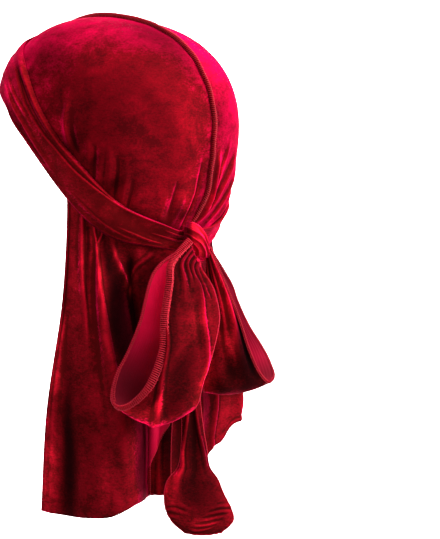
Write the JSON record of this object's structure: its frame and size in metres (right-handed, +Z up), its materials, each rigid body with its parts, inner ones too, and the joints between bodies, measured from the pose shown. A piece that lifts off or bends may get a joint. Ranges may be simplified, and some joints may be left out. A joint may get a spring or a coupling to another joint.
{
  "type": "durag",
  "caption": "Velvet durag in its tied, worn shape: seamed crown, pleated band knotted low behind into hanging loops and ends, long cape.",
  "frame": {"origin": "the highest point inside the crown, on the middle plane, where the wearer's head meets it", "axes": "+Z up, the wearer faces -Y, +X is the wearer's left"},
  "size_m": [0.172, 0.2056, 0.3813],
  "materials": {
    "velvet_crown": "crushed stretch velvet",
    "velvet_band": "crushed stretch velvet",
    "velvet_bow": "crushed stretch velvet",
    "velvet_cape": "crushed stretch velvet",
    "overlocked_seam": "overlocked cut edge"
  },
  "bodies": {
    "root": {"crown_left": "velvet_crown", "crown_right": "velvet_crown", "crown_seam": "overlocked_seam", "strap_left": "velvet_band", "strap_right": "velvet_band", "knot": "velvet_bow", "loop_left": "velvet_bow", "loop_right": "velvet_bow", "end_left": "velvet_bow", "end_right": "velvet_bow", "cape": "velvet_cape"}
  },
  "joints": []
}
